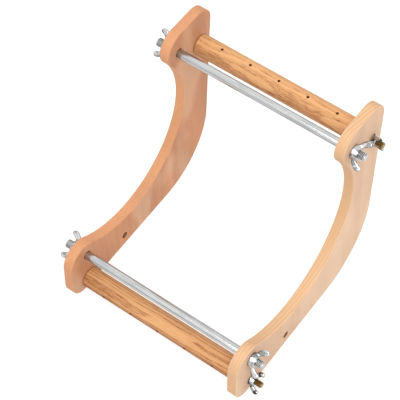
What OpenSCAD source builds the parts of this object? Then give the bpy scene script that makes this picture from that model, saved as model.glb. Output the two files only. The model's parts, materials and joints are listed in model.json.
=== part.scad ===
// Bead loom with two bent side plates, two threaded rods and two cloth rollers.
// +X runs from the left plate to the right plate, +Y to the back and +Z up.
// The lower arms lie flat on the table at Z = 0, and the upper arms rise behind them.
// Places on a plate are given as [along, in]: the distance back from the arm's end,
// and the distance in from the arm's straight outer edge.

/* [Side plates] */
// Thickness of each side plate
plate_t = 10; // [6:0.5:16]
// Clear distance between the two side plates
plate_gap = 170; // [120:5:400]
// Angle between the two straight outer edges
bend_angle = 98.25; // [85:0.25:120]
// Length of each outer edge, up to the corner that the bend rounds off
arm_len = 198; // [160:1:260]
// Width of each arm's end, from the outer edge to the top of its lobe
end_width = 60.25; // [52:0.25:75]
// Slope of the end edge from square to the arm
end_rake = 6; // [0:0.5:12]
// Radius of the outer bend
bend_r = 69; // [30:1:90]
// Width of the plate across the bend
bend_web = 53.5; // [35:0.5:60]
// Radius of the outer corner of each arm's end
end_r = 16.25; // [6:0.25:22]
// Radius of the inner lobe of each arm's end
lobe_r = 18.75; // [10:0.25:24]

/* [Holes in the plates] */
// Rod hole at either end
rod_hole = [26.5, 45.5];
// Roller hole in the lower arm
lower_roller_hole = [23.5, 12.5];
// Roller hole in the upper arm
upper_roller_hole = [39.75, 15];
// Empty second roller hole in the lower arm
spare_hole = [75.75, 12.25];
// Clearance round a rod or a stud in the plate
hole_play = 0.1; // [0.05:0.05:0.5]

/* [Rods] */
// Diameter of a threaded rod
rod_d = 8; // [6:0.5:10]
// Length of each rod beyond the plate's outer face
rod_stub = 12.5; // [9:0.5:30]
// Bevel at a rod's ends
rod_bevel = 0.9; // [0.3:0.1:1.5]

/* [Rollers] */
// Diameter of a cloth roller
roller_d = 20; // [16:0.5:24]
// Gap between a roller's end and the plate
roller_end_play = 0.2; // [0.1:0.05:0.5]
// Bevel round a roller's ends
roller_bevel = 0.8; // [0.2:0.1:2]
// Pitch of the peg holes along a roller
peg_pitch = 30; // [15:1:38]
// Number of peg holes in a roller
peg_count = 5; // [1:1:5]
// Diameter of a peg hole
peg_d = 2.5; // [1.5:0.1:4]
// Depth of a peg hole
peg_depth = 9; // [3:0.5:12]
// Diameter of the stud in a roller's end
stud_d = 6; // [4:0.5:7]
// Length of the stud inside the wood
stud_in = 20; // [10:1:22]
// Length of the stud beyond the plate's outer face
stud_stub = 12; // [8:0.5:25]
// Bevel at a stud's ends
stud_bevel = 0.7; // [0.3:0.1:1.2]

/* [Wing nuts] */
// Span over the wings of a rod's nut
rod_nut_span = 27; // [24:0.5:30]
// Height of a rod's nut over its wings
rod_nut_h = 13; // [11:0.5:16]
// Wall round the thread at the foot of a rod's nut
rod_nut_wall = 2.6; // [2:0.1:3.5]
// Span over the wings of a roller's nut
roller_nut_span = 22; // [20:0.5:25]
// Height of a roller's nut over its wings
roller_nut_h = 11; // [9:0.5:14]
// Wall round the thread at the foot of a roller's nut
roller_nut_wall = 2.3; // [1.8:0.1:3]
// Clearance round the rod in a nut's thread
thread_play = 0.05; // [0.02:0.01:0.1]
// Gap between a nut's foot and the plate
seat_play = 0.1; // [0.05:0.05:0.3]
// Turn of the wings from flat: upper rod left, upper rod right, lower rod left, lower rod right
rod_nut_turns = [48, 37, 25, 40];
// Turn of the wings from flat: upper roller left and right, lower roller left and right
roller_nut_turns = [70, 102, 108, 49];

/* [Hidden] */
$fn = 96;

// Sides, as the sign of X
left = -1;
right = 1;

// Directions the peg holes open in, as turns from +Y towards +Z
peg_up = 90;
peg_front = 180;

// Amount a cut runs past the face it opens in
past = 1;

// Amount a round laps over the straight edges beside it
lap = 0.01;

beech = [0.89, 0.74, 0.58];
oak = [0.80, 0.57, 0.34];
zinc = [0.76, 0.78, 0.80];
yellow_zinc = [0.52, 0.43, 0.24];

function heading(turn) = [cos(turn), sin(turn)];
function unit(v) = v / norm(v);

// The two arms as headings from the bend's corner
lower_turn = 180;
upper_turn = lower_turn - bend_angle;

// Point [along, in] from the bend's corner, on the lower arm and on its mirror image, the upper
function on_lower(q) = q[0] * heading(lower_turn) + q[1] * heading(lower_turn - 90);
function on_upper(q) = q[0] * heading(upper_turn) + q[1] * heading(upper_turn + 90);
function from_lower_end(place) = on_lower([arm_len - place[0], place[1]]);
function from_upper_end(place) = on_upper([arm_len - place[0], place[1]]);

// An arm's half of the outline, as [along, in]: a round of radius r that touches the end edge,
// with its middle at the distance in from the outer edge
function at_end_edge(in, r) = [arm_len - in * tan(end_rake) - r / cos(end_rake), in];
middle_line = heading(bend_angle / 2);
end_facing = heading(end_rake);
bend_middle = bend_r / sin(bend_angle / 2) * middle_line;
end_middle = at_end_edge(end_r, end_r);
lobe_middle = at_end_edge(end_width - lobe_r, lobe_r);

// The notch is the round that touches both lobes and leaves the web across the bend
notch_bottom = norm(bend_middle) - bend_r + bend_web;
lobe_beyond = lobe_middle * middle_line - notch_bottom;
lobe_aside = cross(lobe_middle, middle_line);
notch_r = (lobe_beyond ^ 2 + lobe_aside ^ 2 - lobe_r ^ 2) / (2 * (lobe_r + lobe_beyond));
notch_middle = (notch_bottom + notch_r) * middle_line;

// Points where an arm's rounds and straight edges touch, from the bend to the notch
arm_touches = [
    [bend_r / tan(bend_angle / 2), 0],
    [end_middle[0], 0],
    end_middle + end_r * end_facing,
    lobe_middle + lobe_r * end_facing,
    lobe_middle + lobe_r * unit(notch_middle - lobe_middle)
];

// Furthest reach to the front and to the back, both on the rounds of the arms' ends
plate_front = on_lower(end_middle)[0] - end_r;
plate_back = on_upper(end_middle)[0] + end_r;
centre_y = (plate_front + plate_back) / 2;

// Axes of the rods, rollers and the empty hole, as [Y, Z] about the finished loom's middle
to_middle = [-centre_y, 0];
upper_rod_axis = from_upper_end(rod_hole) + to_middle;
lower_rod_axis = from_lower_end(rod_hole) + to_middle;
upper_roller_axis = from_upper_end(upper_roller_hole) + to_middle;
lower_roller_axis = from_lower_end(lower_roller_hole) + to_middle;
spare_axis = from_lower_end(spare_hole) + to_middle;

plate_outer_x = plate_gap / 2 + plate_t;
rod_len = 2 * (plate_outer_x + rod_stub);
roller_len = plate_gap - 2 * roller_end_play;

// Shape of a wing nut's parts as shares of its height and span
nut_foot_share = 0.12;
nut_hub_share = 0.50;
nut_top_wall_share = 0.62;

// Half the inner angle at a corner, and where its round starts, ends and has its middle
function half_corner(a, b, c) = acos((a - b) * (c - b) / (norm(a - b) * norm(c - b))) / 2;
function before(p, i) = p[(i + len(p) - 1) % len(p)];
function after(p, i) = p[(i + 1) % len(p)];
function half_at(p, i) = half_corner(before(p, i), p[i], after(p, i));
function round_start(p, r, i) = p[i] + unit(before(p, i) - p[i]) * r[i] / tan(half_at(p, i));
function round_end(p, r, i) = p[i] + unit(after(p, i) - p[i]) * r[i] / tan(half_at(p, i));
function round_middle(p, r, i) =
    p[i] + unit(unit(before(p, i) - p[i]) + unit(after(p, i) - p[i])) * r[i] / sin(half_at(p, i));
function bulges(p, i) = cross(p[i] - before(p, i), after(p, i) - p[i]) > 0;

// Disc of a round, a hair larger so that it laps over both of the edges that it touches
module disc(middle, r) {
    translate(middle) circle(r + lap);
}

// A plate's outline, with the bend's corner at the origin
module plate_outline() {
    difference() {
        union() {
            polygon(concat(
                [for (q = arm_touches) on_upper(q)],
                [for (i = [len(arm_touches) - 1:-1:0]) on_lower(arm_touches[i])]
            ));
            disc(on_lower(bend_middle), bend_r);
            for (q = [on_lower(end_middle), on_upper(end_middle)]) disc(q, end_r);
            for (q = [on_lower(lobe_middle), on_upper(lobe_middle)]) disc(q, lobe_r);
        }
        disc(on_lower(notch_middle), notch_r);
    }
}

// Outline through the corners p, taken anticlockwise, with the radii r
module rounded_outline(p, r) {
    corners = [0:len(p) - 1];
    rounded = [for (i = corners) if (r[i] > 0) i];
    difference() {
        union() {
            polygon([
                for (i = corners) each r[i] > 0 ? [round_start(p, r, i), round_end(p, r, i)] : [p[i]]
            ]);
            for (i = rounded) if (bulges(p, i)) disc(round_middle(p, r, i), r[i]);
        }
        for (i = rounded) if (!bulges(p, i)) disc(round_middle(p, r, i), r[i]);
    }
}

// Stands a drawing of the YZ plane upright, with its thickness from x to x + t
module upright(x, t) {
    translate([x, 0, 0]) rotate([90, 0, 90]) linear_extrude(t) children();
}

// Bar along X from x0 to x1, bevelled at both ends, on the axis [Y, Z]
module bar(axis, d, x0, x1, bevel) {
    translate([x0, axis[0], axis[1]]) rotate([90, 0, 90]) rotate_extrude()
        polygon([
            [0, 0], [d / 2 - bevel, 0], [d / 2, bevel],
            [d / 2, x1 - x0 - bevel], [d / 2 - bevel, x1 - x0], [0, x1 - x0]
        ]);
}

// Plate with its rod hole and roller hole at each end, and the lower arm's empty hole
module side_plate(side) {
    inner_x = plate_gap / 2;
    low_x = side == right ? inner_x : -inner_x - plate_t;
    color(beech) difference() {
        upright(low_x, plate_t) translate(to_middle) plate_outline();
        for (axis = [upper_rod_axis, lower_rod_axis])
            plate_bore(low_x, axis, rod_d);
        for (axis = [upper_roller_axis, lower_roller_axis, spare_axis])
            plate_bore(low_x, axis, stud_d);
    }
}

module plate_bore(low_x, axis, d) {
    translate([low_x - past, axis[0], axis[1]]) rotate([0, 90, 0])
        cylinder(h = plate_t + 2 * past, d = d + 2 * hole_play);
}

module rod(axis) {
    color(zinc) bar(axis, rod_d, -rod_len / 2, rod_len / 2, rod_bevel);
}

// Dowel with a row of blind peg holes, and a bore for the stud in either end
module roller(axis, peg_turn) {
    color(oak) difference() {
        bar(axis, roller_d, -roller_len / 2, roller_len / 2, roller_bevel);
        translate([0, axis[0], axis[1]]) {
            for (i = [0:peg_count - 1])
                translate([(i - (peg_count - 1) / 2) * peg_pitch, 0, 0])
                    rotate([peg_turn - 90, 0, 0])
                        translate([0, 0, roller_d / 2 - peg_depth])
                            cylinder(h = peg_depth + past, d = peg_d);
            for (side = [left, right])
                translate([side * (roller_len / 2 - stud_in), 0, 0]) rotate([0, side * 90, 0])
                    cylinder(h = stud_in + past, d = stud_d);
        }
    }
}

// Stud with one end in the roller's wood and the other through the plate
module stud(axis, side) {
    inner = roller_len / 2 - stud_in;
    outer = plate_outer_x + stud_stub;
    color(yellow_zinc)
        bar(axis, stud_d, side == right ? inner : -outer, side == right ? outer : -inner, stud_bevel);
}

// Outline of the wing to the right of a nut's axis, as [out, up] from the foot
function wing_corners(foot_r, top_r, reach, h) = [
    [0, h * 0.09],
    [foot_r * 0.95, h * 0.09],
    [reach, h * 0.52],
    [reach - h * 0.02, h],
    [reach - h * 0.37, h],
    [top_r * 1.02, h * 0.45],
    [0, h * 0.45]
];
function wing_rounds(h) = [0, h * 0.08, h * 0.13, h * 0.15, h * 0.12, h * 0.10, 0];

// Wing with that outline, thinning from the hub to a rounded tip
module wing(foot_r, top_r, reach, h, root_t, tip_t) {
    tip_x = reach - tip_t / 2;
    intersection() {
        rotate([90, 0, 0]) linear_extrude(2 * root_t, center = true)
            rounded_outline(wing_corners(foot_r, top_r, reach, h), wing_rounds(h));
        linear_extrude(h + past) union() {
            polygon([[0, -root_t / 2], [tip_x, -tip_t / 2], [tip_x, tip_t / 2], [0, root_t / 2]]);
            translate([tip_x, 0]) circle(d = tip_t + lap);
        }
    }
}

// Wing nut standing on its foot at Z = 0, with its bore along Z
module wing_nut(thread_d, span, h, wall) {
    bore_d = thread_d + 2 * thread_play;
    foot_r = bore_d / 2 + wall;
    top_r = bore_d / 2 + wall * nut_top_wall_share;
    hub_h = h * nut_hub_share;
    edge = wall * 0.18;
    difference() {
        union() {
            rotate_extrude() polygon([
                [0, 0], [foot_r - edge, 0], [foot_r, edge], [foot_r, h * nut_foot_share],
                [top_r, hub_h - edge], [top_r - edge, hub_h], [0, hub_h]
            ]);
            for (turn = [0, 180]) rotate(turn)
                wing(foot_r, top_r, span / 2, h, wall * 1.2, wall * 0.8);
        }
        translate([0, 0, -past]) cylinder(h = h + 2 * past, d = bore_d);
    }
}

// Wing nut on a plate's outer face, with its wings turned from flat towards upright
module seated_nut(axis, side, turn, thread_d, span, h, wall) {
    color(zinc) translate([side * (plate_outer_x + seat_play), axis[0], axis[1]])
        rotate([turn, 0, 0]) rotate([0, side * 90, 0]) rotate(90)
            wing_nut(thread_d, span, h, wall);
}

module rod_nut(axis, side, turn) {
    seated_nut(axis, side, turn, rod_d, rod_nut_span, rod_nut_h, rod_nut_wall);
}

module roller_nut(axis, side, turn) {
    seated_nut(axis, side, turn, stud_d, roller_nut_span, roller_nut_h, roller_nut_wall);
}

module side_plate_left() { side_plate(left); }
module side_plate_right() { side_plate(right); }
module upper_rod() { rod(upper_rod_axis); }
module lower_rod() { rod(lower_rod_axis); }
module upper_roller() { roller(upper_roller_axis, peg_up); }
module lower_roller() { roller(lower_roller_axis, peg_front); }
module upper_roller_stud_left() { stud(upper_roller_axis, left); }
module upper_roller_stud_right() { stud(upper_roller_axis, right); }
module lower_roller_stud_left() { stud(lower_roller_axis, left); }
module lower_roller_stud_right() { stud(lower_roller_axis, right); }
module upper_rod_wing_nut_left() { rod_nut(upper_rod_axis, left, rod_nut_turns[0]); }
module upper_rod_wing_nut_right() { rod_nut(upper_rod_axis, right, rod_nut_turns[1]); }
module lower_rod_wing_nut_left() { rod_nut(lower_rod_axis, left, rod_nut_turns[2]); }
module lower_rod_wing_nut_right() { rod_nut(lower_rod_axis, right, rod_nut_turns[3]); }
module upper_roller_wing_nut_left() { roller_nut(upper_roller_axis, left, roller_nut_turns[0]); }
module upper_roller_wing_nut_right() { roller_nut(upper_roller_axis, right, roller_nut_turns[1]); }
module lower_roller_wing_nut_left() { roller_nut(lower_roller_axis, left, roller_nut_turns[2]); }
module lower_roller_wing_nut_right() { roller_nut(lower_roller_axis, right, roller_nut_turns[3]); }

side_plate_left();
side_plate_right();
upper_rod();
lower_rod();
upper_roller();
lower_roller();
upper_roller_stud_left();
upper_roller_stud_right();
lower_roller_stud_left();
lower_roller_stud_right();
upper_rod_wing_nut_left();
upper_rod_wing_nut_right();
lower_rod_wing_nut_left();
lower_rod_wing_nut_right();
upper_roller_wing_nut_left();
upper_roller_wing_nut_right();
lower_roller_wing_nut_left();
lower_roller_wing_nut_right();
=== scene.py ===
"""Dresses the bead loom: wooden plates and rollers, threaded rods and studs, and cast wing nuts"""

import json
import math
from typing import NamedTuple

import bmesh
import bpy
from bmesh.types import BMEdge, BMFace, BMVert
from mathutils import Matrix, Vector

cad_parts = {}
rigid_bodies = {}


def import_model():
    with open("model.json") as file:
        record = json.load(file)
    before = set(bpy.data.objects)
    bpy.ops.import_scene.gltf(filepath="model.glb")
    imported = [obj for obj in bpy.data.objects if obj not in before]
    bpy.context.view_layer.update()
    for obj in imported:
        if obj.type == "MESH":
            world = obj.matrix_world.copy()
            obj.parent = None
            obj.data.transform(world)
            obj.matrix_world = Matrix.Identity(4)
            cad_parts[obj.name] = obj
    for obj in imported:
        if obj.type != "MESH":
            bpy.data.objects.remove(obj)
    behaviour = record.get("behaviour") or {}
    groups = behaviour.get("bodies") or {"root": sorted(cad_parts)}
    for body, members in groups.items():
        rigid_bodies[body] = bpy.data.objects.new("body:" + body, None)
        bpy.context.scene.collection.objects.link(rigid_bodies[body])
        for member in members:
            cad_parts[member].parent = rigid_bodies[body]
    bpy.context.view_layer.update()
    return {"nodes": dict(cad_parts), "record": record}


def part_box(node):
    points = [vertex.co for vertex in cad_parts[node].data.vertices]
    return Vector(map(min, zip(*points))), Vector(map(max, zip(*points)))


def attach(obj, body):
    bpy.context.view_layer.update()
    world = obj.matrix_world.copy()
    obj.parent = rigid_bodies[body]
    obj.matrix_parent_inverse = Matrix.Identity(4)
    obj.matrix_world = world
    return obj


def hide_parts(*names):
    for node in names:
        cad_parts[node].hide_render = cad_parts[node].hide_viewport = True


bl_info = {
    "name": "Bead Loom",
    "version": (1, 0, 0),
    "blender": (4, 5, 0),
    "location": "View3D > Sidebar > Loom",
    "description": "Makes the visible pieces of a tabletop bead loom round its solid parts",
    "category": "Object",
}

# Blender's own cube, light and camera make room for the loom
for default_object in list(bpy.data.objects):
    bpy.data.objects.remove(default_object)
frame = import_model()

ALONG = Vector((1, 0, 0))  # direction of the rods, the studs and the rollers
Y, Z = 1, 2  # places of these axes in a vector
MM = 1000  # millimetres in a metre, because the materials are measured in millimetres
SAME = 1e-7  # metres under which two points are one
CLOSE = 1e-6  # the same where separately made parts of a mesh meet
SIDES = {"left": -1, "right": 1}  # with their directions along X
SHAFTS = ("upper_rod", "lower_rod", "upper_roller", "lower_roller")


def length(name, description, default):
    """A size in metres, as the user sees it in the panel"""
    return bpy.props.FloatProperty(
        name=name, description=description, default=default, min=0, unit="LENGTH", precision=5
    )


def share(name, description, default):
    """A plain number from 0 to 1"""
    return bpy.props.FloatProperty(
        name=name, description=description, default=default, min=0, max=1, subtype="FACTOR"
    )


def amount(name, description, default, unit="NONE", low=0):
    """A number with no upper end"""
    return bpy.props.FloatProperty(
        name=name, description=description, default=default, min=low, unit=unit
    )


def turn(name, description, degrees):
    """An angle, given in degrees and held in radians"""
    return bpy.props.FloatProperty(
        name=name, description=description, default=math.radians(degrees), unit="ROTATION"
    )


def colour(name, description, default):
    """A linear colour"""
    return bpy.props.FloatVectorProperty(
        name=name,
        description=description,
        default=default,
        size=3,
        min=0,
        max=1,
        subtype="COLOR",
    )


class PlateSizes(bpy.types.PropertyGroup):
    """Outline of the side plates, the same for both arms, and their edges and holes"""

    bend_angle: turn("Bend angle", "Angle between the two straight outer edges", 98.25)
    arm_length: length("Arm length", "Outer edge, up to the corner that the bend rounds", 0.198)
    end_width: length("End width", "Arm's end, from the outer edge to its lobe's top", 0.06025)
    bend_radius: length("Bend radius", "Round of the outer bend", 0.069)
    web: length("Web", "Width of the plate across the bend", 0.0535)
    end_rake: turn("End rake", "Slope of the end edge from square to the arm", 6)
    end_radius: length("End radius", "Outer corner of each arm's end", 0.01625)
    lobe_radius: length("Lobe radius", "Inner lobe of each arm's end", 0.01875)
    edge_radius: length("Edge radius", "Rounding along the sawn edges", 0.0009)
    hole_radius: length("Hole edge", "Rounding round the drilled holes", 0.0004)
    spare_along: length("Third hole along", "Third hole from the arm's end", 0.07575)
    spare_in: length("Third hole in", "Third hole from the outer edge", 0.01225)
    hole_play: length("Hole play", "Clearance round a rod or a stud", 0.0001)


class ThreadSizes(bpy.types.PropertyGroup):
    """Threads of the rods and the studs"""

    rod_pitch: length("Rod pitch", "Rise of the rods' thread in one turn", 0.00125)
    stud_pitch: length("Stud pitch", "Rise of the studs' thread in one turn", 0.001)
    depth: share("Depth", "Depth of a thread as a share of its pitch", 0.58)
    rod_thread: length("Rod thread length", "Threaded part at each end of a rod", 0.0215)
    rod_runout: length("Thread runout", "Taper from a rod's thread to its smooth part", 0.0008)
    rod_end: length("Rod bevel", "Bevel at a rod's ends", 0.0009)
    stud_end: length("Stud bevel", "Bevel at a stud's ends", 0.0007)


class NutSizes(bpy.types.PropertyGroup):
    """Walls of the wing nuts, and their heights as shares of a nut's whole height"""

    rod_wall: length("Rod nut wall", "Wall at the foot of a rod's nut", 0.0026)
    roller_wall: length("Roller nut wall", "Wall at the foot of a roller's nut", 0.0023)
    top_wall: share("Top wall", "Wall at the hub's top, as a share of the foot's wall", 0.62)
    hub: share("Hub height", "Height of the hub", 0.45)
    foot: share("Foot height", "Height of the straight foot", 0.12)
    play: length("Thread play", "Clearance round the thread", 0.00005)


class Colours(bpy.types.PropertyGroup):
    """Linear colours of the woods, the metals and the floor"""

    # The left plate's face and grain colours are a redder wood, and partly painted shade: darker
    # than the right plate's, as its inner face lies in shade between the parts
    left_beech: colour("Left beech", "Faces of the left plate", (0.517, 0.229, 0.108))
    left_grain: colour("Left grain", "Late growth of the left plate", (0.288, 0.133, 0.068))
    left_sawn: colour("Left sawn edge", "Edges of the left plate", (0.508, 0.232, 0.106))
    right_beech: colour("Right beech", "Faces of the right plate", (0.620, 0.402, 0.264))
    right_grain: colour("Right grain", "Late growth of the right plate", (0.500, 0.300, 0.180))
    right_sawn: colour("Right sawn edge", "Edges of the right plate", (0.498, 0.294, 0.151))
    pale_line: colour("Pale line", "Thin lines in the plates' end grain", (0.80, 0.60, 0.42))
    # Painted shade: the plates are darkened in and just round their holes, where the rods and
    # studs pass
    drilled: colour("Drilled", "Scorched wood inside the holes", (0.180, 0.085, 0.038))
    oak_light: colour("Oak light", "Ground of the rollers", (0.574, 0.305, 0.134))
    # oak_dark is also the colour of the rollers' painted shade
    oak_dark: colour("Oak dark", "Pores and late growth of the rollers", (0.190, 0.047, 0.008))
    zinc_bright: colour("Zinc bright", "Bright zinc plating", (0.540, 0.540, 0.540))
    zinc_tint: colour("Zinc tint", "Bluish tint in the zinc plating", (0.360, 0.370, 0.375))
    # Painted reflection and shade: the dark patches on the wing nuts stand for mirrored dark
    # surroundings and shade in their crevices
    painted_dark_reflection: colour("Stain", "Dark patches on the wing nuts", (0.060, 0.055, 0.050))
    yellow_zinc: colour("Yellow zinc", "Olive ground of the studs", (0.240, 0.175, 0.070))
    yellow_tint: colour("Yellow tint", "Bronze tint in the studs", (0.330, 0.180, 0.060))
    floor: colour("Floor", "Pale floor", (0.3, 0.3, 0.3))


class StageSizes(bpy.types.PropertyGroup):
    """Floor, lights and camera"""

    floor: length("Floor", "Width of the floor", 24)
    lens: amount("Lens", "Focal length in millimetres", 155.45, unit="CAMERA", low=1)
    key: amount("Key light", "Power of the key light in watts", 22, unit="POWER")
    fill: amount("Fill light", "Power of the fill light in watts", 4, unit="POWER")
    glow: amount("Floor glow", "Light that the floor gives", 0.68)
    sky: amount("Sky", "Strength of the surrounding light", 1.34)


class PlateWood(NamedTuple):
    """What differs between the two side plates' wood, besides its colours"""

    heart: tuple  # middle of the tree's rings, in millimetres along X and Y
    tilt: float  # lean of the grain from upright, in radians
    ray: float  # strength of the pale lines in the end grain


class RollerWood(NamedTuple):
    """What differs between the two rollers' wood, and their painted shade"""

    heart: tuple  # middle of the tree's rings from the roller's, in millimetres along Y and Z
    slant: float  # slope of the grain against the roller, in degrees
    spacing: float  # millimetres from ring to ring
    wander: float  # millimetres that the rings stray by
    early: float  # share of a year at which its dark growth starts
    coarse: float  # strength of the pores
    pegs: tuple  # direction along Y and Z in which the peg holes open
    rim_shade_radius: float  # radius of the painted shade round a peg hole, in millimetres
    ground: float  # darkness all over
    front: float  # painted shade: more darkness on the front


PLATE_WOODS = {
    "left": PlateWood(heart=(-385, 75), tilt=0.008, ray=0.15),
    "right": PlateWood(heart=(995, -60), tilt=0.004, ray=0.45),
}
ROLLER_WOODS = {
    "upper_roller": RollerWood(
        heart=(14, -9),
        slant=0.8,
        spacing=2.5,
        wander=7,
        early=0.15,
        coarse=1,
        pegs=(0, 1),
        rim_shade_radius=1.5,
        ground=-0.05,
        front=0.38,
    ),
    "lower_roller": RollerWood(
        heart=(-11, 17),
        slant=2.4,
        spacing=3.3,
        wander=11,
        early=0.45,
        coarse=0.85,
        pegs=(-1, 0),
        rim_shade_radius=2.1,
        ground=0.17,
        front=0.46,
    ),
}


class Value:
    """A number inside a material, which works in Python's own expressions"""

    def __init__(self, finish, socket):
        self.finish, self.socket = finish, socket

    def _math(self, operation, *terms):
        return self.finish.node("Math", dict(enumerate(terms)), operation=operation).out(0)

    def __add__(self, other):
        return self._math("ADD", self, other)

    def __radd__(self, other):
        return self._math("ADD", other, self)

    def __sub__(self, other):
        return self._math("SUBTRACT", self, other)

    def __rsub__(self, other):
        return self._math("SUBTRACT", other, self)

    def __mul__(self, other):
        return self._math("MULTIPLY", self, other)

    def __rmul__(self, other):
        return self._math("MULTIPLY", other, self)

    def __truediv__(self, other):
        return self._math("DIVIDE", self, other)

    def __rtruediv__(self, other):
        return self._math("DIVIDE", other, self)

    def __pow__(self, other):
        return self._math("POWER", self, other)

    def __rpow__(self, other):
        return self._math("POWER", other, self)

    def fraction(self):
        return self._math("FRACT", self)

    def swing(self, width):
        """A pattern from 0 to 1, made to swing by that width about 0"""
        return (self - 0.5) * width

    def step(self, low, high):
        """0 below low and 1 above high, smooth between"""
        inputs = {"Value": self, "From Min": low, "From Max": high}
        return self.finish.node("MapRange", inputs, interpolation_type="SMOOTHSTEP").out(0)

    def band(self, rise, fall):
        """1 from the end of rise to the start of fall, and 0 before and after them"""
        return self.step(*rise) * (1 - self.step(*fall))


class Node:
    """A node just made, whose outputs are taken by name or number"""

    def __init__(self, finish, node):
        self.finish, self.node = finish, node

    def out(self, key=0):
        return Value(self.finish, self.node.outputs[key])


class Finish:
    """A material that is being made"""

    def __init__(self, name):
        self.material = bpy.data.materials.new(name)
        self.material.use_nodes = True
        self.tree = self.material.node_tree
        self.shader = self.tree.nodes["Principled BSDF"]
        self.position = self.node("TexCoord").out("Object")

    def node(self, kind, inputs=None, **settings):
        """Any node, by its type, its settings and the values or links of its sockets"""
        node = self.tree.nodes.new("ShaderNode" + kind)
        for key, value in settings.items():
            setattr(node, key, value)
        self.feed(node, inputs or {})
        return Node(self, node)

    def feed(self, node, inputs):
        """Links a node's sockets to values, and sets the others"""
        for key, value in inputs.items():
            if isinstance(value, Value):
                self.tree.links.new(value.socket, node.inputs[key])
            else:
                node.inputs[key].default_value = value

    def place(self, scale=(1, 1, 1), turn=(0, 0, 0), shift=(0, 0, 0)):
        """Position in millimetres, stretched by scale, then turned and shifted"""
        inputs = {
            "Vector": self.position,
            "Scale": [MM * s for s in scale],
            "Rotation": turn,
            "Location": shift,
        }
        return self.node("Mapping", inputs).out()

    def parts(self, vector):
        """The X, Y and Z of a vector"""
        split = self.node("SeparateXYZ", {"Vector": vector})
        return [split.out(axis) for axis in "XYZ"]

    def noise(self, scale, detail=2, roughness=0.5, shift=(0, 0, 0)):
        """Clouds from 0 to 1, whose scale is in clouds per millimetre along X, Y and Z"""
        inputs = {
            "Vector": self.place(scale, shift=shift),
            "Scale": 1.0,
            "Detail": detail,
            "Roughness": roughness,
        }
        return self.node("TexNoise", inputs).out("Fac")

    def mix(self, factor, first, second):
        """The first colour where factor is 0, and the second where it is 1"""
        first, second = (c if isinstance(c, Value) else (*c, 1) for c in (first, second))
        # Sockets 6 and 7 and output 2 are a Mix node's colours
        return self.node("Mix", {"Factor": factor, 6: first, 7: second}, data_type="RGBA").out(2)

    def bump(self, height, distance, strength):
        """The surface's direction, where height from 0 to 1 raises it by the distance in metres"""
        inputs = {"Height": height, "Distance": distance, "Strength": strength}
        return self.node("Bump", inputs).out("Normal")

    def done(self, **sockets):
        """Sets the shader's sockets and gives back the material"""
        self.feed(self.shader, {name.replace("_", " "): value for name, value in sockets.items()})
        return self.material


def distance(first, second):
    """Distance from the line where both values are 0"""
    return (first**2 + second**2) ** 0.5


def growth(away, wander, spacing):
    """The share from 0 to 1 of each year's ring, by the distance from the tree's heart"""
    return ((away + wander) / spacing).fraction()


def drilled(finish, holes):
    """Mask of the painted shade round the plates' holes: 1 inside any of the holes along X, each
    (Y, Z, radius), and 0 beyond their rims
    """
    rim_start, rim_end = 0.2, 0.6  # millimetres beyond a hole's wall
    _, y, z = finish.parts(finish.place())
    return sum(
        1 - distance(y - hole_y, z - hole_z).step(radius + rim_start, radius + rim_end)
        for hole_y, hole_z, radius in holes
    )


def beech(name, side, holes):
    """Pale, close-grained wood: its grain is upright, its sawn edges warmer and its holes dark
    with painted shade
    """
    look, wood = bpy.context.scene.loom_colours, PLATE_WOODS[side]
    light, grain, sawn = (getattr(look, f"{side}_{part}") for part in ("beech", "grain", "sawn"))
    finish = Finish(name)
    x, y, _ = finish.parts(finish.place(turn=(0, wood.tilt, 0)))
    from_heart = x - wood.heart[0]
    away = distance(from_heart, y - wood.heart[1])
    wander = finish.noise((0.02, 0.02, 0.006), detail=3) * 2  # millimetres
    year = growth(away, wander, spacing=3.1)
    late = year.band((0.15, 0.85), (0.92, 1.0))
    flecks = finish.noise((1.6, 1.6, 0.22), detail=1).step(0.60, 0.72)
    fibre = finish.noise((4.0, 4.0, 0.16))
    clouds = finish.noise((0.030, 0.030, 0.012))
    streaks = finish.noise((0.35, 0.35, 0.012), detail=3)
    patches = finish.noise((0.024, 0.024, 0.010), detail=3, shift=(wood.heart[1], 0, 0))
    dark = flecks * 0.14 + fibre.swing(0.30) + clouds.swing(0.8) + streaks.swing(0.45) + 0.12

    facing_x, _, facing_z = finish.parts(finish.node("TexCoord").out("Normal"))
    end_grain = facing_z**2
    square_on = (from_heart / away) ** 2
    face = finish.mix(dark + late * square_on**4 * 0.26, light, grain)
    face = finish.mix(patches.step(0.46, 0.62) * 0.22, face, look.pale_line)
    edge = finish.mix(dark + late * 0.10, sawn, grain)
    plain = finish.mix(1 - facing_x**2, face, edge)
    pale = year.band((0.76, 0.86), (0.88, 0.97)) * end_grain * wood.ray
    plain = finish.mix(pale, plain, look.pale_line)
    height = fibre * 0.5 - flecks * 0.5 + late * 0.2
    return finish.done(
        # Painted shade in and round the holes
        Base_Color=finish.mix(drilled(finish, holes), plain, look.drilled),
        Roughness=0.50 + fibre * 0.16,
        Normal=finish.bump(height, distance=0.00004, strength=0.6),
        Specular_IOR_Level=0.35,
    )


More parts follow.
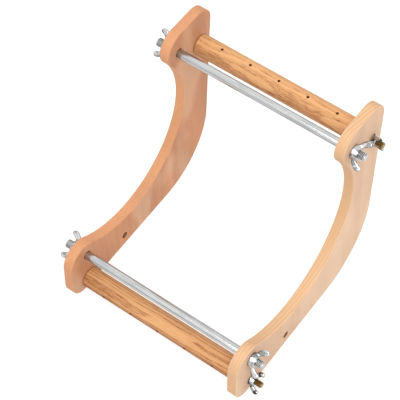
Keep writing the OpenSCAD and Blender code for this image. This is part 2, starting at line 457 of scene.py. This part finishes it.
def oak(name, axis, radius, wood):
    """Coarse wood with long dark pores along the roller, and painted shade on its front, in its
    holes and round the peg holes' mouths
    """
    peg_spacing = 30  # millimetres from peg hole to peg hole
    peg_wall = 1.2  # millimetres from a peg hole's middle to where its painted shade starts to fade
    hole_start, hole_end = 0.3, 1.4  # millimetres under the surface, where the painted shade inside a hole starts and where it is full
    painted_shade_y, painted_shade_z = -0.85, -0.53  # direction that the side with painted shade faces
    look = bpy.context.scene.loom_colours
    finish = Finish(name)
    shift, other_shift = ((place, 0, 0) for place in wood.heart)
    lean = (0, math.radians(wood.slant), math.radians(-1.3 * wood.slant))
    _, y, z = finish.parts(finish.place(turn=lean))
    wander = finish.noise((0.011, 0.05, 0.05), detail=3, shift=shift) * wood.wander
    away = distance(y - (axis.y + wood.heart[0]), z - (axis.z + wood.heart[1]))
    year = growth(away, wander, wood.spacing)
    late = year.band((wood.early, 0.85), (0.90, 1.0))
    pores = finish.noise((0.10, 2.1, 2.1), detail=3, roughness=0.65, shift=shift).step(0.48, 0.62)
    short = finish.noise((0.30, 3.2, 3.2), shift=other_shift).step(0.50, 0.64)
    fibre = finish.noise((0.10, 5.0, 5.0))
    clouds = finish.noise((0.012, 0.09, 0.09))

    x, y, z = finish.parts(finish.place())
    aside, above = y - axis.y, z - axis.z
    # Painted shade: the roller's front and underside are darker
    front = (aside * painted_shade_y + above * painted_shade_z).step(3, 10)
    # Painted shade inside the holes, deeper than hole_start under the surface
    inside = 1 - distance(aside, above).step(radius - hole_end, radius - hole_start)
    along = ((x / peg_spacing + 0.5).fraction() - 0.5) * peg_spacing
    across = aside * wood.pegs[1] - above * wood.pegs[0]
    opens = (aside * wood.pegs[0] + above * wood.pegs[1]).step(0, 1)
    # Painted shade round each peg hole's mouth, on the side where the holes open
    rims = (1 - distance(along, across).step(peg_wall, wood.rim_shade_radius)) * opens
    dark = (
        pores * (0.17 + late * 0.36) * wood.coarse
        + short * (0.06 + late * 0.30) * wood.coarse
        + late * (0.44 - 0.24 * wood.coarse)
        + fibre.swing(0.35)
        + clouds.swing(0.6)
        # Painted shade on the front
        + front * wood.front
        # Painted shade in the holes and round the peg holes' mouths
        + inside * 0.7
        + rims * 0.8
        + wood.ground
    )
    height = fibre * 0.4 - pores * 0.8 - short * 0.4
    return finish.done(
        Base_Color=finish.mix(dark, look.oak_light, look.oak_dark),
        Roughness=0.52 + pores * 0.25,
        Normal=finish.bump(height, distance=0.00006, strength=0.7),
        Specular_IOR_Level=0.22,
    )


def plating(name, bright, tint, rough, drawn=False, dark_reflection_share=0):
    """Plated metal with cloudy tints and dull spots, which may have dark patches of painted
    reflection and shade

    A drawn bar has fine lines along it, and a casting has a grainy skin.
    """
    finish = Finish(name)
    clouds = finish.noise((0.05, 0.22, 0.22), detail=3).step(0.40, 0.66)
    spots = finish.noise((1.1, 1.1, 1.1)).step(0.56, 0.74)
    skin = finish.noise((0.02, 3.0, 3.0) if drawn else (3.2, 3.2, 3.2))
    base = finish.mix(clouds * 0.6 + spots * 0.2, bright, tint)
    if drawn:
        lines = finish.noise((0.001, 1.2, 1.2), detail=1).step(0.50, 0.59)
        base = finish.mix(skin.step(0.48, 0.70) * 0.3 + lines * 0.7, base, tint)
    # Painted reflection and shade: dark patches in place of mirrored dark surroundings and shade
    # in crevices
    if dark_reflection_share:
        patches = finish.noise((0.20, 0.20, 0.20)).step(0.47, 0.56)
        base = finish.mix(patches * dark_reflection_share, base, bpy.context.scene.loom_colours.painted_dark_reflection)
    return finish.done(
        Base_Color=base,
        Metallic=1.0,
        Roughness=rough + spots * 0.12 + clouds * 0.05,
        Normal=finish.bump(skin, distance=0.00002, strength=0.5),
    )


def only(kind, geometry):
    """The vertices, edges or faces in what an operator gives back"""
    return [g for g in geometry if isinstance(g, kind)]


def smooth(bm, sharp, name):
    """The finished mesh as an object, smooth but for edges that turn by more than sharp degrees"""
    bmesh.ops.remove_doubles(bm, verts=bm.verts, dist=SAME)
    bmesh.ops.recalc_face_normals(bm, faces=bm.faces)
    mesh = bpy.data.meshes.new(name)
    bm.to_mesh(mesh)
    bm.free()
    mesh.polygons.foreach_set("use_smooth", [True] * len(mesh.polygons))
    mesh.set_sharp_from_angle(angle=math.radians(sharp))
    piece = bpy.data.objects.new(name, mesh)
    bpy.context.scene.collection.objects.link(piece)
    return piece


def hand_in(piece, material, body, node):
    """Gives a piece its material and its body, and hides the solid that it stands for"""
    piece.data.materials.append(material)
    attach(piece, body)
    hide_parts(node)


def body_of(node):
    """Name of the body that holds a solid"""
    bodies = frame["record"]["behaviour"]["bodies"]
    return next(body for body, nodes in bodies.items() if node in nodes)


def axis_of(shaft):
    """Place in the YZ plane of a rod's or a roller's axis"""
    low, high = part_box(shaft)
    return Vector((0, (low.y + high.y) / 2, (low.z + high.z) / 2))


def half(node, axis):
    """Half of a solid's size along an axis, which is the radius of a round one"""
    low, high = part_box(node)
    return (high[axis] - low[axis]) / 2


class Arm:
    """Places on an arm of the plate, [along, in] from the corner that the bend rounds off"""

    def __init__(self, along, inwards, corner):
        self.along, self.inwards, self.corner = along, inwards, corner

    def __call__(self, place):
        return self.corner + self.along * place[0] + self.inwards * place[1]


def outline_rounds(sizes):
    """Rounds of the plate's outline in order, and the lower arm

    A round is (middle, start, end, side), where side is 1 if the wood bulges there, or else -1.
    """
    half_bend = sizes.bend_angle / 2
    middle_line = Vector((math.cos(half_bend), math.sin(half_bend)))
    facing = Vector((math.cos(sizes.end_rake), math.sin(sizes.end_rake)))

    def at_end_edge(inwards, radius):
        """Middle of a round that touches the arm's end edge"""
        edge = sizes.arm_length - inwards * math.tan(sizes.end_rake)
        return Vector((edge - radius / math.cos(sizes.end_rake), inwards))

    bend = sizes.bend_radius / math.sin(half_bend) * middle_line
    bend_touch = Vector((sizes.bend_radius / math.tan(half_bend), 0))
    end = at_end_edge(sizes.end_radius, sizes.end_radius)
    lobe = at_end_edge(sizes.end_width - sizes.lobe_radius, sizes.lobe_radius)

    # The notch's round touches both lobes, and leaves the web across the bend
    notch_bottom = bend.length - sizes.bend_radius + sizes.web
    beyond = lobe.dot(middle_line) - notch_bottom
    aside = lobe.x * middle_line.y - lobe.y * middle_line.x
    spread = beyond**2 + aside**2 - sizes.lobe_radius**2
    notch_radius = spread / (2 * (sizes.lobe_radius + beyond))
    notch = (notch_bottom + notch_radius) * middle_line
    flank = lobe + (notch - lobe).normalized() * sizes.lobe_radius

    # The lower arm lies along the floor, and the plate stands in the middle from front to back
    rise = math.pi - sizes.bend_angle
    up = Vector((0, math.cos(rise), math.sin(rise)))
    back = end.x * up.y - end.y * up.z + sizes.end_radius
    front = -end.x - sizes.end_radius
    corner = Vector((0, -(front + back) / 2, 0))
    lower = Arm(Vector((0, -1, 0)), Vector((0, 0, 1)), corner)
    upper = Arm(up, Vector((0, -up.z, up.y)), corner)
    rounds = [
        (lower(end), lower((end.x, 0)), lower(end + facing * sizes.end_radius), 1),
        (lower(lobe), lower(lobe + facing * sizes.lobe_radius), lower(flank), 1),
        (lower(notch), lower(flank), upper(flank), -1),
        (upper(lobe), upper(flank), upper(lobe + facing * sizes.lobe_radius), 1),
        (upper(end), upper(end + facing * sizes.end_radius), upper((end.x, 0)), 1),
        (lower(bend), upper(bend_touch), lower(bend_touch), 1),
    ]
    return rounds, lower


def outline_loop(bm, rounds, outward, step):
    """Closed loop of edges along the rounds, with the outward direction kept on each vertex"""
    ends = []
    for middle, start, end, side in rounds:
        count = len(bm.verts)
        first = bmesh.ops.create_vert(bm, co=start)["vert"][0]
        arc = (start - middle).angle(end - middle)
        spun = bmesh.ops.spin(
            bm,
            geom=[first],
            cent=middle,
            axis=ALONG,
            angle=-side * arc,
            steps=max(3, round(arc / step)),
        )
        last = only(BMVert, spun["geom_last"])[0]
        bm.verts.ensure_lookup_table()
        for vert in bm.verts[count:]:
            vert[outward] = (vert.co - middle).normalized() * side
        ends.append((first, last))
    for (_, last), (first, _) in zip(ends, ends[1:] + ends[:1]):
        if (last.co - first.co).length > CLOSE:
            bm.edges.new((last, first))
    bmesh.ops.remove_doubles(bm, verts=bm.verts, dist=CLOSE)


def rim_profile(near, far, radius, support, steps):
    """Steps over a rounded rim from one flat face to the other, each (x, set back)

    The first and the last lie on the flat faces, set back further by the support.
    """
    quarter = [math.pi / 2 * i / steps for i in range(steps + 1)]
    sign = 1 if far > near else -1
    rounding = [
        (near + sign * radius * (1 - math.sin(math.pi / 2 - a)), radius * (1 - math.sin(a)))
        for a in quarter
    ]
    other = [(near + far - x, set_back) for x, set_back in reversed(rounding)]
    return [(near, radius + support)] + rounding + other + [(far, radius + support)]


def sweep_rim(bm, edges, outward, profile):
    """Walls from a loop of edges through the profile; gives the first loop and the last"""
    first = edges
    before = profile[0]
    for vert in {v for e in edges for v in e.verts}:
        out = Vector(vert[outward])
        vert.co = Vector((before[0], vert.co.y, vert.co.z)) - out * before[1]
    for x, set_back in profile[1:]:
        edges = only(BMEdge, bmesh.ops.extrude_edge_only(bm, edges=edges)["geom"])
        for vert in {v for e in edges for v in e.verts}:
            out = Vector(vert[outward])
            vert.co += Vector((x - before[0], 0, 0)) - out * (set_back - before[1])
        before = (x, set_back)
    return first, edges


def hole_loop(bm, middle, radius, outward, segments):
    """Loop of edges round a hole, whose outward direction points at the hole's middle"""
    turned = Matrix.Translation(middle) @ Matrix.Rotation(math.pi / 2, 4, "Y")
    circle = bmesh.ops.create_circle(
        bm, cap_ends=False, segments=segments, radius=radius, matrix=turned
    )
    for vert in circle["verts"]:
        vert[outward] = (middle - vert.co).normalized()
    return list({e for v in circle["verts"] for e in v.link_edges})


def make_plate(name, near, far):
    """One side plate from its inner face at x = near to its outer face at x = far

    Gives the plate, and its holes as (middle, radius).
    """
    sizes = bpy.context.scene.loom_plate
    rod_radius, stud_radius = half("upper_rod", Z), half("upper_roller_stud_left", Z)
    bm = bmesh.new()
    outward = bm.verts.layers.float_vector.new("outward")
    rounds, lower = outline_rounds(sizes)
    outline_loop(bm, rounds, outward, step=math.radians(1.5))
    edge_profile = rim_profile(near, far, sizes.edge_radius, support=0.0005, steps=5)
    rims = [(bm.edges[:], edge_profile)]
    holes = [(axis_of(s), rod_radius if s.endswith("rod") else stud_radius) for s in SHAFTS]
    third = lower((sizes.arm_length - sizes.spare_along, sizes.spare_in))
    holes.append((third, stud_radius))
    hole_profile = rim_profile(near, far, sizes.hole_radius, support=0.0002, steps=3)
    for middle, radius in holes:
        edges = hole_loop(bm, middle, radius + sizes.hole_play, outward, segments=40)
        rims.append((edges, hole_profile))
    faces = [sweep_rim(bm, edges, outward, profile) for edges, profile in rims]
    for loops in zip(*faces):
        edges = [e for loop in loops for e in loop]
        bmesh.ops.triangle_fill(bm, edges=edges, use_beauty=True, use_dissolve=False)
    bm.verts.layers.float_vector.remove(outward)
    return smooth(bm, sharp=35, name=name + "_wood"), holes


def add_thread(bm, start, end, radius, pitch, bevel, joined=None):
    """Adds a threaded bar along X, with flat bevelled ends, to the mesh

    The end at x = joined has no bevel and stays open.
    """
    steps_in_turn = 28
    crest_end, root_start, root_end = 0.14, 0.46, 0.68  # shares of the pitch
    root = radius - pitch * bpy.context.scene.loom_thread.depth
    shape = [(0, radius), (crest_end, radius), (root_start, root), (root_end, root), (1, radius)]
    part = bmesh.new()
    verts = [
        bmesh.ops.create_vert(part, co=(start - pitch * (1 - t), 0, r))["vert"][0]
        for t, r in shape
    ]
    edges = [part.edges.new(pair) for pair in zip(verts, verts[1:])]
    bmesh.ops.spin(
        part,
        geom=verts + edges,
        cent=(0, 0, 0),
        axis=ALONG,
        dvec=ALONG * (pitch / steps_in_turn),
        angle=2 * math.pi,
        steps=steps_in_turn,
    )

    # The turns are doubled until they reach past the bar's end
    turns = 1
    while (turns - 2) * pitch < end - start:
        copied = bmesh.ops.duplicate(part, geom=part.verts[:] + part.edges[:] + part.faces[:])
        moved = only(BMVert, copied["geom"])
        bmesh.ops.translate(part, verts=moved, vec=ALONG * (pitch * turns))
        turns *= 2
    bmesh.ops.remove_doubles(part, verts=part.verts, dist=CLOSE)

    bevelled = [(place, sign) for place, sign in ((start, 1), (end, -1)) if place != joined]
    for vert in part.verts:
        around = math.hypot(vert.co.y, vert.co.z)
        from_end = min(sign * (vert.co.x - place) for place, sign in bevelled)
        room = radius - bevel + max(0, from_end)
        if around > room:
            vert.co.yz = vert.co.yz * (room / around)
    for place, facing in ((start, -ALONG), (end, ALONG)):
        cut = bmesh.ops.bisect_plane(
            part,
            geom=part.verts[:] + part.edges[:] + part.faces[:],
            dist=SAME,
            plane_co=(place, 0, 0),
            plane_no=facing,
            clear_outer=True,
        )
        if place != joined:
            bmesh.ops.contextual_create(part, geom=only(BMEdge, cut["geom_cut"]))
    mesh = bpy.data.meshes.new("thread")
    part.to_mesh(mesh)
    part.free()
    bm.from_mesh(mesh)
    bpy.data.meshes.remove(mesh)


def join_threads(bm, radius, runout):
    """Joins the open ends of two threads by a smooth bar, which each thread runs out into"""
    open_edges = [e for e in bm.edges if e.is_boundary]
    rims = []
    for sign in SIDES.values():
        edges = [e for e in open_edges if e.verts[0].co.x * sign > 0]
        rim = only(BMEdge, bmesh.ops.extrude_edge_only(bm, edges=edges)["geom"])
        for vert in {v for e in rim for v in e.verts}:
            vert.co.x -= sign * runout
            vert.co.yz = vert.co.yz.normalized() * radius
        rims += rim
    bmesh.ops.bridge_loops(bm, edges=rims)


def bar(bm, axis, name):
    """The finished bar, moved to its axis"""
    bmesh.ops.translate(bm, verts=bm.verts, vec=(0, axis.y, axis.z))
    return smooth(bm, sharp=40, name=name)


HUB_SIDES = 12
# Subdivision draws a hub of that many sides in, so the hub is built wider by this factor
HUB_SWELL = 1 / (1 - (1 - math.cos(2 * math.pi / HUB_SIDES)) / 3)
WING_THICKNESS = (1.20, 1.05, 0.95, 0.90)  # at each station, as a share of the hub's wall


def add_hub(bm, bore, foot, top, foot_height, height):
    """Adds a wing nut's tapered hub, with creased rims, to the mesh; it stands on z = 0"""
    crease = bm.edges.layers.float.new("crease_edge")
    shoulder = ((foot + 2 * top) / 3, height * 0.56)
    profile = [
        (bore, 0),
        (foot, 0),
        (foot, foot_height),
        shoulder,
        (top, height),
        (bore, height),
    ]
    verts = [bmesh.ops.create_vert(bm, co=(r, 0, z))["vert"][0] for r, z in profile]
    half_side = Matrix.Rotation(math.pi / HUB_SIDES, 3, "Z")
    bmesh.ops.rotate(bm, verts=verts, cent=(0, 0, 0), matrix=half_side)
    edges = [bm.edges.new(pair) for pair in zip(verts, verts[1:] + verts[:1])]
    bmesh.ops.spin(
        bm,
        geom=verts + edges,
        cent=(0, 0, 0),
        axis=(0, 0, 1),
        angle=2 * math.pi,
        steps=HUB_SIDES,
        use_merge=True,
    )
    bmesh.ops.remove_doubles(bm, verts=bm.verts, dist=SAME)
    creases = {(0, foot): 0.75, (height, top): 0.6, (0, bore): 0.9, (height, bore): 0.85}
    for edge in bm.edges:
        for (up, out), sharpness in creases.items():
            misses = [max(abs(v.co.z - up), abs(v.co.xy.length - out)) for v in edge.verts]
            if max(misses) < CLOSE:
                edge[crease] = sharpness


def wing_root(bm, side, bore, low, high):
    """The hub's outer face between two heights, from which the wing on that side is drawn"""
    bmesh.ops.recalc_face_normals(bm, faces=bm.faces)
    root = []
    for face in bm.faces:
        middle = face.calc_center_median()
        outer = middle.x * side > bore and face.normal.x * side > 0.8
        if outer and abs(middle.y) < CLOSE and low < middle.z < high:
            root.append(face)
    return root


def wing_stations(foot, top, reach, height):
    """Stations of a wing from the hub to its tip

    A station is its lower, middle and upper place, each (out in metres, share of the height).
    """
    waist = (foot + top) / 2
    lower, upper = reach - foot, reach - top
    return [
        (
            (foot + 0.30 * lower, 0.18),
            (waist + 0.24 * upper, 0.40),
            (top + 0.14 * upper, 0.58),
        ),
        (
            (foot + 0.72 * lower, 0.37),
            (waist + 0.56 * upper, 0.62),
            (top + 0.38 * upper, 0.84),
        ),
        ((reach, 0.58), (reach - 0.14 * height, 0.82), (reach - 0.33 * height, 0.965)),
        ((reach * 1.02, 0.83), (reach - 0.07 * height, 0.95), (reach - 0.20 * height, 1.0)),
    ]


def make_wing_nut(name, place, radius, wall, reach, height):
    """Cast wing nut: a tapered hub with two wings drawn out of it, rounded by subdivision"""
    sizes = bpy.context.scene.loom_nut
    bore = radius + sizes.play
    foot, top = bore + wall, bore + wall * sizes.top_wall
    foot_height, hub_height = height * sizes.foot, height * sizes.hub
    bm = bmesh.new()
    wide_bore, wide_foot, wide_top = (r * HUB_SWELL for r in (bore, foot, top))
    add_hub(bm, wide_bore, wide_foot, wide_top, foot_height, hub_height)
    for side in SIDES.values():
        root = wing_root(bm, side, wide_bore, foot_height, hub_height)
        for station, thickness in zip(wing_stations(foot, top, reach, height), WING_THICKNESS):
            grown = bmesh.ops.extrude_face_region(bm, geom=root)["geom"]
            bmesh.ops.delete(bm, geom=root, context="FACES")
            root = only(BMFace, grown)
            tips = sorted(only(BMVert, grown), key=lambda v: v.co.z)
            for level, (out, up) in enumerate(station):
                for vert in tips[2 * level : 2 * level + 2]:
                    aside = math.copysign(thickness * wall / 2, vert.co.y)
                    vert.co = Vector((side * out, aside, up * height))
    bmesh.ops.transform(bm, matrix=place, verts=bm.verts)
    piece = smooth(bm, sharp=180, name=name)
    rounding = piece.modifiers.new("Cast rounding", "SUBSURF")
    rounding.levels = rounding.render_levels = 3
    return piece


class LOOM_OT_side_plates(bpy.types.Operator):
    """Make the two bent side plates with rounded edges and drilled holes"""

    bl_idname = "loom.side_plates"
    bl_label = "Side plates"

    def execute(self, context):
        for side in SIDES:
            node = f"side_plate_{side}"
            near, far = sorted((corner.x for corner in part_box(node)), key=abs)
            plate, holes = make_plate(node, near, far)
            holes = [(middle.y * MM, middle.z * MM, radius * MM) for middle, radius in holes]
            hand_in(plate, beech(f"beech_{side}", side, holes), "frame", node)
        return {"FINISHED"}


class LOOM_OT_rods(bpy.types.Operator):
    """Make the two threaded rods that join the plates"""

    bl_idname = "loom.rods"
    bl_label = "Threaded rods"

    def execute(self, context):
        sizes, look = context.scene.loom_thread, context.scene.loom_colours
        metal = plating("zinc_rod", look.zinc_bright, look.zinc_tint, rough=0.16, drawn=True)
        for node in ("upper_rod", "lower_rod"):
            low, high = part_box(node)
            radius = half(node, Y)
            inner = high.x - sizes.rod_thread
            bm = bmesh.new()
            for start, end, joined in ((low.x, -inner, -inner), (inner, high.x, inner)):
                add_thread(bm, start, end, radius, sizes.rod_pitch, sizes.rod_end, joined)
            join_threads(bm, radius, sizes.rod_runout)
            piece = bar(bm, axis_of(node), node + "_bar")
            hand_in(piece, metal, node, node)
        return {"FINISHED"}


class LOOM_OT_rollers(bpy.types.Operator):
    """Give the two drilled rollers their coarse, long-grained wood"""

    bl_idname = "loom.rollers"
    bl_label = "Rollers"

    def execute(self, context):
        for node, wood in ROLLER_WOODS.items():
            material = oak(f"oak_{node}", axis_of(node) * MM, half(node, Y) * MM, wood)
            frame["nodes"][node].data.materials[0] = material
        return {"FINISHED"}


class LOOM_OT_studs(bpy.types.Operator):
    """Make the threaded studs in the rollers' ends"""

    bl_idname = "loom.studs"
    bl_label = "Roller studs"

    def execute(self, context):
        sizes, look = context.scene.loom_thread, context.scene.loom_colours
        metal = plating("yellow_zinc", look.yellow_zinc, look.yellow_tint, rough=0.24)
        for shaft in ("upper_roller", "lower_roller"):
            for side in SIDES:
                node = f"{shaft}_stud_{side}"
                low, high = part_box(node)
                bm = bmesh.new()
                add_thread(bm, low.x, high.x, half(node, Y), sizes.stud_pitch, sizes.stud_end)
                piece = bar(bm, axis_of(shaft), node + "_bar")
                hand_in(piece, metal, body_of(node), node)
        return {"FINISHED"}


class LOOM_OT_wing_nuts(bpy.types.Operator):
    """Make the eight cast wing nuts that hold the rods and the rollers"""

    bl_idname = "loom.wing_nuts"
    bl_label = "Wing nuts"

    def execute(self, context):
        sizes, look = context.scene.loom_nut, context.scene.loom_colours
        zinc = (look.zinc_bright, look.zinc_tint)
        rod_metal = plating("zinc_nut", *zinc, rough=0.15, dark_reflection_share=0.55)
        roller_metal = plating("zinc_nut_dark_reflections", *zinc, rough=0.15, dark_reflection_share=1)
        for shaft in SHAFTS:
            on_rod = shaft.endswith("_rod")
            radius = half(shaft if on_rod else shaft + "_stud_left", Y)
            wall = sizes.rod_wall if on_rod else sizes.roller_wall
            metal = rod_metal if on_rod else roller_metal
            axis = axis_of(shaft)
            for side, sign in SIDES.items():
                node = f"{shaft}_wing_nut_{side}"
                low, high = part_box(node)
                seat = low.x if sign > 0 else high.x
                tip = self.tip(node, axis)
                place = (
                    Matrix.Translation((seat, axis.y, axis.z))
                    @ Matrix.Rotation(math.atan2(tip.z, tip.y), 4, "X")
                    @ Matrix.Rotation(sign * math.pi / 2, 4, "Y")
                    @ Matrix.Rotation(math.pi / 2, 4, "Z")
                )
                reach = math.hypot(tip.y, tip.z)
                piece = make_wing_nut(node + "_cast", place, radius, wall, reach, high.x - low.x)
                hand_in(piece, metal, node, node)
        return {"FINISHED"}

    def tip(self, node, axis):
        """The solid nut's furthest point from its axis, which gives the wings' reach and turn"""
        points = (v.co - axis for v in frame["nodes"][node].data.vertices)
        return max(points, key=lambda point: math.hypot(point.y, point.z))


class LOOM_OT_stage(bpy.types.Operator):
    """Make the pale floor, the soft studio lights and the camera"""

    bl_idname = "loom.stage"
    bl_label = "Stage"

    def execute(self, context):
        sizes, look = context.scene.loom_stage, context.scene.loom_colours
        bm = bmesh.new()
        bmesh.ops.create_grid(bm, x_segments=2, y_segments=2, size=sizes.floor / 2)
        floor = smooth(bm, sharp=30, name="floor")
        floor.data.materials.append(self.paint(look.floor, sizes.glow))
        self.light("key", place=(0.5, -0.8, 1.8), size=1.2, power=sizes.key)
        self.light("fill", place=(0.6, -1.9, 1.1), size=1.4, power=sizes.fill)
        self.sky(context, sizes.sky)
        self.camera(context, sizes.lens)
        context.scene.view_settings.view_transform = "Standard"
        return {"FINISHED"}

    def paint(self, light, glow):
        """Matt floor paint with faint clouds, which gives light of its own"""
        finish = Finish("floor_paint")
        clouds = finish.noise((0.02, 0.02, 0.02))
        return finish.done(
            Base_Color=finish.mix(clouds, light, [0.985 * part for part in light]),
            Roughness=0.9,
            Specular_IOR_Level=0.1,
            Emission_Color=(1, 1, 1, 1),
            Emission_Strength=glow,
        )

    def light(self, name, place, size, power):
        """Square soft light that faces the loom"""
        loom_middle = Vector((0, 0, 0.1))
        data = bpy.data.lights.new(name, "AREA")
        data.size, data.energy = size, power
        lamp = bpy.data.objects.new(name, data)
        lamp.location = place
        lamp.rotation_euler = (loom_middle - lamp.location).to_track_quat("-Z", "Y").to_euler()
        bpy.context.scene.collection.objects.link(lamp)

    def sky(self, context, strength):
        """White room that darkens towards its floor"""
        stops = ((0.0, 0.22), (0.10, 0.30), (0.25, 0.92), (0.6, 1.0))  # (height, grey)
        world = context.scene.world or bpy.data.worlds.new("room")
        context.scene.world = world
        world.use_nodes = True
        tree = world.node_tree
        tree.nodes.clear()
        place = tree.nodes.new("ShaderNodeTexCoord")
        parts = tree.nodes.new("ShaderNodeSeparateXYZ")
        ramp = tree.nodes.new("ShaderNodeValToRGB")
        light = tree.nodes.new("ShaderNodeBackground")
        room = tree.nodes.new("ShaderNodeOutputWorld")
        elements = ramp.color_ramp.elements
        elements.remove(elements[1])
        for height, grey in stops:
            # The ramp comes with a stop at 0, which isn't made twice
            stop = elements.new(height) if height else elements[0]
            stop.color = (grey, grey, grey, 1)
        light.inputs["Strength"].default_value = strength
        for output, entry in (
            (place.outputs["Generated"], parts.inputs[0]),
            (parts.outputs["Z"], ramp.inputs[0]),
            (ramp.outputs["Color"], light.inputs["Color"]),
            (light.outputs[0], room.inputs[0]),
        ):
            tree.links.new(output, entry)

    def camera(self, context, lens):
        """Camera that looks down on the loom from its front right"""
        place = Vector((0.5261, -0.6045, 1.3588))
        right = Vector((0.80045, 0.59629, -0.06091))
        up = Vector((-0.47834, 0.69670, 0.53458))
        data = bpy.data.cameras.new("camera")
        data.lens = lens
        data.sensor_width = 36  # millimetres, which the focal length is given for
        camera = bpy.data.objects.new("camera", data)
        turned = Matrix((right, up, right.cross(up))).transposed().to_4x4()
        camera.matrix_world = Matrix.Translation(place) @ turned
        context.scene.collection.objects.link(camera)
        context.scene.camera = camera


OPERATORS = (
    LOOM_OT_stage,
    LOOM_OT_side_plates,
    LOOM_OT_rods,
    LOOM_OT_rollers,
    LOOM_OT_studs,
    LOOM_OT_wing_nuts,
)
GROUPS = {
    "loom_plate": PlateSizes,
    "loom_thread": ThreadSizes,
    "loom_nut": NutSizes,
    "loom_colours": Colours,
    "loom_stage": StageSizes,
}


class LOOM_PT_pieces(bpy.types.Panel):
    """Lists the loom's pieces and their sizes"""

    bl_idname = "LOOM_PT_pieces"
    bl_label = "Bead loom"
    bl_space_type = "VIEW_3D"
    bl_region_type = "UI"
    bl_category = "Loom"

    def draw(self, context):
        for operator in OPERATORS:
            self.layout.operator(operator.bl_idname)
        for name, group in GROUPS.items():
            sizes = getattr(context.scene, name)
            box = self.layout.box()
            for prop in group.__annotations__:
                box.prop(sizes, prop)


CLASSES = (*GROUPS.values(), *OPERATORS, LOOM_PT_pieces)


def register():
    for kind in CLASSES:
        bpy.utils.register_class(kind)
    for name, group in GROUPS.items():
        setattr(bpy.types.Scene, name, bpy.props.PointerProperty(type=group))


def unregister():
    for name in GROUPS:
        delattr(bpy.types.Scene, name)
    for kind in reversed(CLASSES):
        bpy.utils.unregister_class(kind)


def main():
    register()
    for operator in OPERATORS:
        getattr(bpy.ops.loom, operator.bl_idname.split(".")[1])()


if __name__ == "__main__":
    main()
